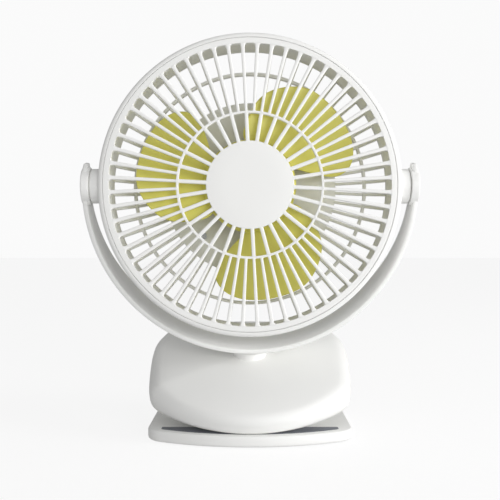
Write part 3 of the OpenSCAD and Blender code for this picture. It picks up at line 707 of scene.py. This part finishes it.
class FAN_OT_yoke(bpy.types.Operator):
    """Builds the half-round band with its end pads, end caps and the collar below"""
    bl_idname = "fan.yoke"
    bl_label = "Yoke"

    def execute(self, context):
        s = context.scene.fan_yoke
        place = yoke_frame(s)
        outside = s.inside + s.band
        bm = bmesh.new()
        grid = bmesh.ops.create_grid(bm, x_segments=300, y_segments=6, size=1.0)["verts"]
        reach = pi / 2 + s.tab / outside
        for v in grid:
            turn = v.co.x * reach
            height = outside * (1 - cos(turn))
            half = (s.low_width + (s.high_width - s.low_width) * min(1, height / outside)) / 2
            # The last stretch closes to a round end
            end = max(0, (height - outside - s.tab) / (s.high_width / 2) + 1)
            half *= sqrt(max(0.15, 1 - end ** 2))
            v.co = Vector((s.inside * sin(turn), half * v.co.y, outside - s.inside * cos(turn)))
        centre = Vector((0, 0, outside))
        faces = list(bm.faces)
        bmesh.ops.recalc_face_normals(bm, faces=faces)
        if sum(f.normal.dot(f.calc_center_median() - centre) for f in faces) > 0:
            bmesh.ops.reverse_faces(bm, faces=faces)
        for v in verts_in(bmesh.ops.extrude_face_region(bm, geom=faces)["geom"]):
            arm = Vector((v.co.x, 0, v.co.z)) - centre
            v.co += arm.normalized() * s.band
        bmesh.ops.recalc_face_normals(bm, faces=bm.faces)
        round_off(bm, corner_edges(bm), 0.7 * MM, 3)
        bmesh.ops.transform(bm, matrix=place, verts=bm.verts)
        pad, pad_in, pad_out, hole = s.pad / MM, s.pad_in / MM, PAD_OUT / MM, 3.05
        seat = pad_out - CAP_RECESS
        for side in (-1, 1):
            lathe(bm, [(hole, pad_in, 0), (pad, pad_in, 0.5), (pad, pad_out, 0.7),
                       (pad - 1.9, pad_out, 0.15), (pad - 1.9, seat, 0), (hole, seat, 0)],
                  pivot_frame(side), steps=96)
        finish_piece("yoke_half_round", bm, "yoke", "white_yoke", ["yoke_band"])

        for side, word in ((-1, "left"), (1, "right")):
            bm = bmesh.new()
            lathe(bm, [(0, seat, 0), (pad - 2, seat, 0), (pad - 2, pad_out - 0.05, 0.2),
                       (0, pad_out, 0)], pivot_frame(side), steps=96, closed=False)
            finish_piece("end_cap_" + word, bm, "yoke", "white_yoke", ["yoke_cap_" + word])

        collar, post, end = s.collar / MM, 5.5, -s.post / MM
        bm = bmesh.new()
        lathe(bm, [(0, 1.5, 0), (collar, 1.5, 0), (collar, -2, 0.4), (post, -2, 0.3),
                   (post, end, 0.6), (0, end, 0)], place, steps=96, closed=False)
        finish_piece("neck_post", bm, "yoke", "white_yoke", ["swivel_post"])
        return {"FINISHED"}


def pillow_balls(s):
    """Middle plane places and radii of the rounded wedge, as (x, y, radius)."""
    w, run = s.half_width, s.run
    side_x = w - s.edge
    # Across the lip: place as a part of the half width, and how far the lip has swollen there
    across = [(w * part, s.lip + swell * MM) for part, swell in
              ((0.17, 0.02), (0.34, 0.1), (0.5, 0.4), (0.62, 0.9), (0.72, 1.8))]
    across.append((side_x - 2 * MM, s.edge - 0.4 * MM))
    balls = [(0, 0, s.lip), (0, run, s.edge)]
    for side in (-1, 1):
        for x, r in across:
            behind = s.jaw_arc - s.lip - sqrt((s.jaw_arc - r) ** 2 - x ** 2)
            balls.append((side * x, behind / cos(s.slope), r))
        for x, part in ((side_x - 0.15 * MM, 0.48), (side_x, 0.76), (side_x - 6 * MM, 0.93),
                        (w * 0.4, 0.99)):
            balls.append((side * x, run * part, s.edge))
    return balls


def pillow_edge(s, around, blur=1.2 * MM, spread=5):
    """Ball rolled round the wedge: its middle, radius and direction at each step."""
    balls = pillow_balls(s)
    edge = []
    for i in range(around):
        turn = 2 * pi * i / around
        nx, ny = cos(turn), sin(turn)
        reach = [x * nx + y * ny + r for x, y, r in balls]
        top = max(reach)
        weights = [exp((q - top) / blur) for q in reach]
        total = sum(weights)
        x, y, r = (sum(w * b[k] for w, b in zip(weights, balls)) / total for k in range(3))
        edge.append((x, y, r, nx, ny))
    # Spread each jump between balls over its neighbours, so that the dome has no creases
    near = range(-spread, spread + 1)
    return [tuple(sum(edge[(i + j) % around][k] for j in near) / len(near) for k in range(3))
            + e[3:] for i, e in enumerate(edge)]


def pillow_loops(s, edge, middle, side, edge_steps=7, dome_steps=13):
    """Loops over one side of the wedge, from its middle plane to near its crown."""
    rows = []
    for x, y, r, nx, ny in edge:
        tilt = atan2(2 * (s.crown - r), (middle - Vector((x, y))).length)
        # Below, the front edge is squarer
        power = 1.0 if side > 0 else 1 / (1 + 0.8 * max(0, -ny))
        rows.append((x, y, r, nx, ny, tilt, power))
    loops = []
    for k in range(edge_steps + 1):
        loop = []
        for x, y, r, nx, ny, tilt, power in rows:
            lift = (pi / 2 - tilt) * k / edge_steps
            out, up = r * cos(lift) ** power, r * sin(lift) ** power
            loop.append((x + out * nx, y + out * ny, side * up))
        loops.append(loop)
    for k in range(1, dome_steps):
        t = k / dome_steps
        loop = []
        for x, y, r, nx, ny, tilt, power in rows:
            out, low = r * sin(tilt) ** power, r * cos(tilt) ** power
            x0, y0 = x + out * nx, y + out * ny
            loop.append((x0 + (middle.x - x0) * t, y0 + (middle.y - y0) * t,
                         side * (low + (s.crown - low) * (1 - (1 - t) ** 2))))
        loops.append(loop)
    return loops


def pillow(bm, s, around=192):
    """Smooth rounded wedge: a round edge, then a low dome above and below."""
    edge = pillow_edge(s, around)
    middle = Vector((0, s.run * 0.52))

    def key(v):
        return tuple(round(c, 9) for c in v.co)

    for side in (1, -1):
        loops = pillow_loops(s, edge, middle, side)
        last, edges = clock_ring(bm, around)
        for v, co in zip(last, loops[0]):
            v.co = Vector(co)
        for loop in loops[1:]:
            index = {key(v): i for i, v in enumerate(last)}
            grown = bmesh.ops.extrude_edge_only(bm, edges=edges)["geom"]
            last = sorted(verts_in(grown), key=lambda v: index[key(v)])
            edges = edges_in(grown, last)
            for v, co in zip(last, loop):
                v.co = Vector(co)
        hub = bm.verts.new((middle.x, middle.y, side * s.crown))
        for e in edges:
            bm.faces.new((e.verts[0], e.verts[1], hub))
    bmesh.ops.remove_doubles(bm, verts=bm.verts, dist=1e-7)
    bmesh.ops.recalc_face_normals(bm, faces=bm.faces)


def cut(bm, height, keep_above):
    """Cuts the mesh at a local height, keeps one side and leaves the cut open."""
    bmesh.ops.bisect_plane(bm, geom=everything(bm), plane_co=(0, 0, height), plane_no=(0, 0, 1),
                           clear_inner=keep_above, clear_outer=not keep_above)


def lug(bm, s, start, hole, tall, middle):
    """A hinge lug: an eye round the pin from start on, and a web of some height at middle."""
    r, end = LUG_RADIUS, start + LUG_WIDTH
    lathe(bm, [(hole, start, 0), (r, start, 0.4), (r, end, 0.4), (hole, end, 0)], hinge_frame(s),
          steps=48)
    # The web is narrower than the eye, so that no two faces lie in one plane
    web = bmesh.new()
    bmesh.ops.create_cube(web, size=1.0)
    bmesh.ops.scale(web, vec=(WEB_WIDTH * MM, WEB_DEPTH * MM, tall), verts=web.verts)
    round_off(web, list(web.edges), 0.4 * MM, 2)
    place = ((start + LUG_WIDTH / 2) * MM, s.hinge_y, middle)
    bmesh.ops.translate(web, vec=place, verts=web.verts)
    merge(bm, web)


class FAN_OT_upper_jaw(bpy.types.Operator):
    """Builds the upper jaw: domed shell, floor with its lugs, and neck bush"""
    bl_idname = "fan.upper_jaw"
    bl_label = "Upper jaw"

    def execute(self, context):
        s = context.scene.fan_clip
        place = slab_frame(s)
        for name, slot, node, above in (("jaw_shell", "white_shell", "upper_shell", True),
                                        ("jaw_floor", "guard_white", "upper_floor", False)):
            bm = bmesh.new()
            pillow(bm, s)
            cut(bm, SPLIT + (SEAM if above else -SEAM), above)
            bmesh.ops.recalc_face_normals(bm, faces=bm.faces)
            bmesh.ops.solidify(bm, geom=list(bm.faces), thickness=2 * MM)
            bmesh.ops.transform(bm, matrix=place, verts=bm.verts)
            if not above:
                for start in (-26, 21):
                    lug(bm, s, start, 2.05, 12 * MM, s.hinge_z + 8.4 * MM)
            finish_piece(name, bm, "upper_jaw", slot, [node])

        yoke = context.scene.fan_yoke
        bm = bmesh.new()
        collar, end, hole = yoke.collar / MM, 3.3 - yoke.post / MM, 5.55
        lathe(bm, [(hole, -2.3, 0), (collar, -2.3, 0.4), (collar, -7, 0.3), (7.5, -7, 0),
                   (7.5, end, 0.3), (hole, end, 0)], yoke_frame(yoke), steps=96)
        finish_piece("neck_seat", bm, "upper_jaw", "white_yoke", ["swivel_bush"])
        return {"FINISHED"}


def plate_outline(s, inset):
    """Plan of the lower jaw, inset evenly, from its front middle round both sides."""
    half = s.half_width - s.inset
    front = PLATE_LOW.y
    arc_y = front + s.front_arc
    cx = half - s.corner
    cy = arc_y - sqrt((s.front_arc - s.corner) ** 2 - cx ** 2)
    turn = atan2(cy - arc_y, cx)
    right = (arc_points(0, arc_y, s.front_arc - inset, -pi / 2, turn, 14)
             + arc_points(cx, cy, s.corner - inset, turn, 0, 10)[1:]
             + arc_points(half - s.tail, PLATE_HIGH.y - s.tail, s.tail - inset, 0, pi / 2, 14))
    return right + [(-x, y) for x, y in reversed(right[1:])]


def pad_outline(s, inset, back, side):
    """Plan of the lower grip pad: the plate's outline, cut straight at its back and sides."""
    pts = [(max(-side, min(side, x)), y) for x, y in plate_outline(s, inset) if y < back]
    right = [p for p in pts if p[0] > 1e-6]
    left = [p for p in pts if p[0] < -1e-6]
    front = [p for p in pts if abs(p[0]) <= 1e-6][:1]
    return front + right + [(right[-1][0], back)] + [(left[0][0], back)] + left


class FAN_OT_lower_jaw(bpy.types.Operator):
    """Builds the lower jaw: plate with its lugs, cover, grip pad and feet"""
    bl_idname = "fan.lower_jaw"
    bl_label = "Lower jaw"

    def execute(self, context):
        s = context.scene.fan_clip
        low, top = PLATE_LOW.z, 6.0 * MM
        bm = bmesh.new()
        plate(bm, plate_outline(s, 0), low, top, 0.9 * MM, 1.5 * MM)
        for start in (-31.3, 26.3):
            lug(bm, s, start, 2, s.hinge_z - top + 0.5 * MM, (s.hinge_z + top) / 2 - 0.4 * MM)
        finish_piece("jaw_plate", bm, "lower_jaw", "white_shell", ["lower_plate"])

        bm = bmesh.new()
        plate(bm, plate_outline(s, 3.1 * MM), low - 0.02 * MM, low + 1.4 * MM, 0, 0.3 * MM)
        finish_piece("jaw_cover", bm, "lower_jaw", "guard_white", ["lower_cover"])

        bm = bmesh.new()
        lo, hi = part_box("lower_pad")
        plate(bm, pad_outline(s, 4 * MM, hi.y, hi.x), lo.z, hi.z, 0.3 * MM, 0)
        finish_piece("grip_lower", bm, "lower_jaw", "grip_rubber", ["lower_pad"])

        bm = bmesh.new()
        foot_lo, foot_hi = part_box("foot_pads")
        r = 5
        for x in (foot_lo.x + r * MM, foot_hi.x - r * MM):
            for y in (foot_lo.y + r * MM, foot_hi.y - r * MM):
                lathe(bm, [(0, 0, 0), (r - 0.2, 0, 0.2), (r, 0.4, 0.1), (r, 1.1, 0), (0, 1.1, 0)],
                      Matrix.Translation((x, y, 0)), steps=48, closed=False)
        finish_piece("feet", bm, "lower_jaw", "grip_rubber", ["foot_pads"])
        return {"FINISHED"}


class FAN_OT_springs(bpy.types.Operator):
    """Builds the two coil springs round the hinge pin"""
    bl_idname = "fan.springs"
    bl_label = "Springs"

    WIRE, RADIUS, PITCH = 0.75 * MM, 3.25 * MM, 1.55 * MM
    TURNS, STEPS, START = 6, 36, 6 * MM

    def execute(self, context):
        s = context.scene.fan_clip
        bm = bmesh.new()
        for side in (-1, 1):
            coil = bmesh.new()
            bmesh.ops.create_circle(coil, cap_ends=False, segments=12, radius=self.WIRE)
            bmesh.ops.rotate(coil, cent=(0, 0, 0), matrix=Matrix.Rotation(pi / 2, 3, "X"),
                             verts=coil.verts)
            bmesh.ops.translate(coil, vec=(self.RADIUS, 0, 0), verts=coil.verts)
            bmesh.ops.spin(coil, geom=list(coil.verts) + list(coil.edges), cent=(0, 0, 0),
                           axis=(0, 0, 1), dvec=(0, 0, self.PITCH / self.STEPS),
                           angle=2 * pi * self.TURNS, steps=self.STEPS * self.TURNS)
            bmesh.ops.holes_fill(coil, edges=[e for e in coil.edges if e.is_boundary])
            place = hinge_frame(s, side) @ Matrix.Translation((0, 0, self.START))
            bmesh.ops.transform(coil, matrix=place, verts=coil.verts)
            merge(bm, coil)
        finish_piece("springs_clip", bm, "lower_jaw", "steel", ["clip_springs"])
        return {"FINISHED"}


class FAN_OT_button(bpy.types.Operator):
    """Builds the speed button with its dished face"""
    bl_idname = "fan.button"
    bl_label = "Speed button"

    def execute(self, context):
        low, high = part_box("speed_button")
        centre = turned((0, low.y, (low.z + high.z) / 2), -pi / 2, "X")
        deep = (high.y - low.y) / MM
        foot = (high.x - low.x) / MM / 2
        cap = foot - 0.8
        bm = bmesh.new()
        lathe(bm, [(0, 0, 0), (foot, 0, 0.2), (foot, 1, 0.2), (cap, 1, 0), (cap, deep, 0.6),
                   (cap - 1, deep - 0.05, 0.5), (0, deep - 0.35, 0)], centre, steps=72,
              closed=False)
        finish_piece("button_speed", bm, "speed_button", "button", ["speed_button"])
        return {"FINISHED"}


class FAN_OT_stage(bpy.types.Operator):
    """Builds the pale floor, the soft lights and the camera"""
    bl_idname = "fan.stage"
    bl_label = "Stage"

    # Camera: distance in front of the head, height, and lens in mm
    EYE_BACK, EYE_HEIGHT, LENS = 0.39, 0.0955, 57.3
    FLOOR_HALF = 6.0
    AIM = (0, 0, 0.1)

    def execute(self, context):
        scene = context.scene
        material, tree, shader, place = start_material("Matt_floor_paint",
                                                       scene.fan_finishes.floor, 0.9)
        speck = add(tree, "ShaderNodeTexNoise", {"Scale": 1 / (12 * MM)}, {"Vector": place})
        rough = add(tree, "ShaderNodeMapRange", {"To Min": 0.85, "To Max": 0.95},
                    {"Value": speck.outputs["Fac"]})
        tree.links.new(rough.outputs["Result"], shader.inputs["Roughness"])
        # Lit from below like a light table, which leaves only a faint shadow
        shader.inputs["Emission Color"].default_value = (1, 1, 1, 1)
        seen = add(tree, "ShaderNodeLightPath").outputs["Is Camera Ray"]
        glow = add(tree, "ShaderNodeMapRange", {"To Min": 0.34, "To Max": 0.815}, {"Value": seen})
        tree.links.new(glow.outputs["Result"], shader.inputs["Emission Strength"])
        bm = bmesh.new()
        bmesh.ops.create_grid(bm, x_segments=1, y_segments=1, size=self.FLOOR_HALF)
        floor = new_object("floor", bm, material)

        world = bpy.data.worlds.new("Soft_white")
        scene.world = world
        world.use_nodes = True
        tree = world.node_tree
        tree.nodes.clear()
        # The backdrop is seen white, and lights the fan less than it shows
        seen = add(tree, "ShaderNodeLightPath").outputs["Is Camera Ray"]
        strength = add(tree, "ShaderNodeMapRange", {"To Min": 0.39, "To Max": 0.96},
                       {"Value": seen})
        backdrop = add(tree, "ShaderNodeBackground", {"Color": (1, 1, 1, 1)},
                       {"Strength": strength.outputs["Result"]})
        add(tree, "ShaderNodeOutputWorld", links={"Surface": backdrop.outputs["Background"]})
        scene.view_settings.view_transform = "Standard"

        def panel(name, place, size, power):
            light = bpy.data.lights.new(name, "AREA")
            light.size = size
            light.energy = power
            lamp = bpy.data.objects.new(name, light)
            scene.collection.objects.link(lamp)
            lamp.location = place
            aim = Vector(self.AIM) - Vector(place)
            lamp.rotation_euler = aim.to_track_quat("-Z", "Y").to_euler()

        panel("key_right", (1.1, -0.40, 0.27), size=0.5, power=8.0)
        panel("fill_front", (0.5, -1.15, 0.14), size=0.7, power=7.5)

        camera = bpy.data.cameras.new("camera")
        camera.lens = self.LENS
        camera.shift_y = -0.008
        camera.clip_start, camera.clip_end = 0.01, 20
        eye = bpy.data.objects.new("camera", camera)
        scene.collection.objects.link(eye)
        eye.location = (0, FRONT_Y - self.EYE_BACK, self.EYE_HEIGHT)
        eye.rotation_euler = (pi / 2, 0, 0)
        scene.camera = eye
        return {"FINISHED"}


OPERATORS = (FAN_OT_finishes, FAN_OT_rim, FAN_OT_grille, FAN_OT_disc, FAN_OT_guard,
             FAN_OT_impeller, FAN_OT_yoke, FAN_OT_upper_jaw, FAN_OT_lower_jaw, FAN_OT_springs,
             FAN_OT_button, FAN_OT_stage)
GROUPS = {"fan_head": HeadSizes, "fan_rotor": RotorSizes, "fan_yoke": YokeSizes,
          "fan_clip": ClipSizes, "fan_finishes": Finishes}


class FAN_PT_panel(bpy.types.Panel):
    """Lists the fan's pieces and their sizes"""
    bl_idname = "FAN_PT_panel"
    bl_label = "Clip desk fan"
    bl_space_type = "VIEW_3D"
    bl_region_type = "UI"
    bl_category = "Fan"

    def draw(self, context):
        for operator in OPERATORS:
            self.layout.operator(operator.bl_idname)
        for name, group in GROUPS.items():
            box = self.layout.box()
            for field in group.__annotations__:
                box.prop(getattr(context.scene, name), field)


def register():
    for cls in (*GROUPS.values(), *OPERATORS, FAN_PT_panel):
        bpy.utils.register_class(cls)
    for name, group in GROUPS.items():
        setattr(bpy.types.Scene, name, bpy.props.PointerProperty(type=group))


def unregister():
    for name in GROUPS:
        delattr(bpy.types.Scene, name)
    for cls in (FAN_PT_panel, *reversed(OPERATORS), *reversed(list(GROUPS.values()))):
        bpy.utils.unregister_class(cls)


def main():
    register()
    for operator in OPERATORS:
        group, name = operator.bl_idname.split(".")
        getattr(getattr(bpy.ops, group), name)()


if __name__ == "__main__":
    main()
